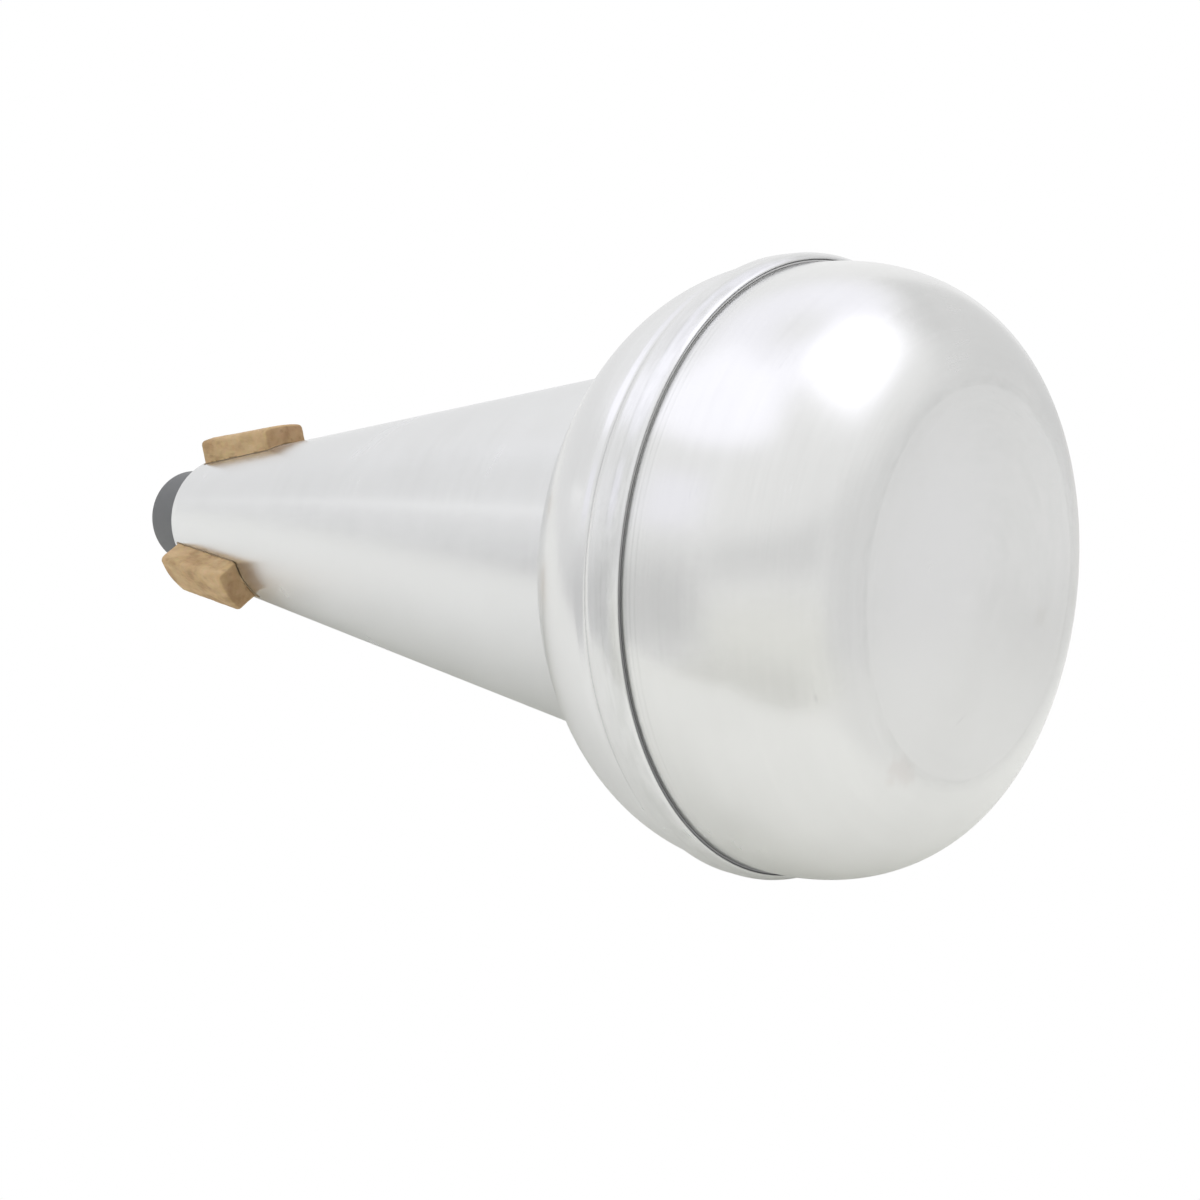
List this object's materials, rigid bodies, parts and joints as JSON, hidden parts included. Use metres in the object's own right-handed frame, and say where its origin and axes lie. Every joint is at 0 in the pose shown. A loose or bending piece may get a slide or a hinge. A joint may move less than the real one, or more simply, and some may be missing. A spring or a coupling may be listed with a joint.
{
  "type": "trombone straight mute",
  "caption": "Straight mute for a trombone: a spun metal cone on a domed body with a round bottom cup, open at its narrow end, where cork strips grip the bell.",
  "frame": {"origin": "centre of the flat bottom of the cup, on the surface that the mute stands on", "axes": "+Z is the mute's axis, from the flat bottom towards the narrow end that enters the bell; +X passes through the middle of cork_1; +Y follows the right-hand rule"},
  "size_m": [0.12, 0.12, 0.2697],
  "materials": {
    "cone_aluminium": "satin, brushed lengthwise",
    "shoulder_aluminium": "spun, softly polished",
    "cup_aluminium": "spun, fine turning lines",
    "seal_rubber": "matte black",
    "neck_adhesive": "cured amber adhesive",
    "nozzle_plastic": "moulded dark grey, satin",
    "cork": "natural sheet cork, sanded",
    "contact_adhesive": "dry brown contact adhesive"
  },
  "bodies": {
    "root": {"cone_tube": "cone_aluminium", "shoulder": "shoulder_aluminium", "bottom_cup": "cup_aluminium", "seam_seal": "seal_rubber", "neck_bond": "neck_adhesive", "throat_nozzle": "nozzle_plastic", "cork_1": "cork", "cork_2": "cork", "cork_3": "cork", "cork_glue_1": "contact_adhesive", "cork_glue_2": "contact_adhesive", "cork_glue_3": "contact_adhesive"}
  },
  "joints": []
}
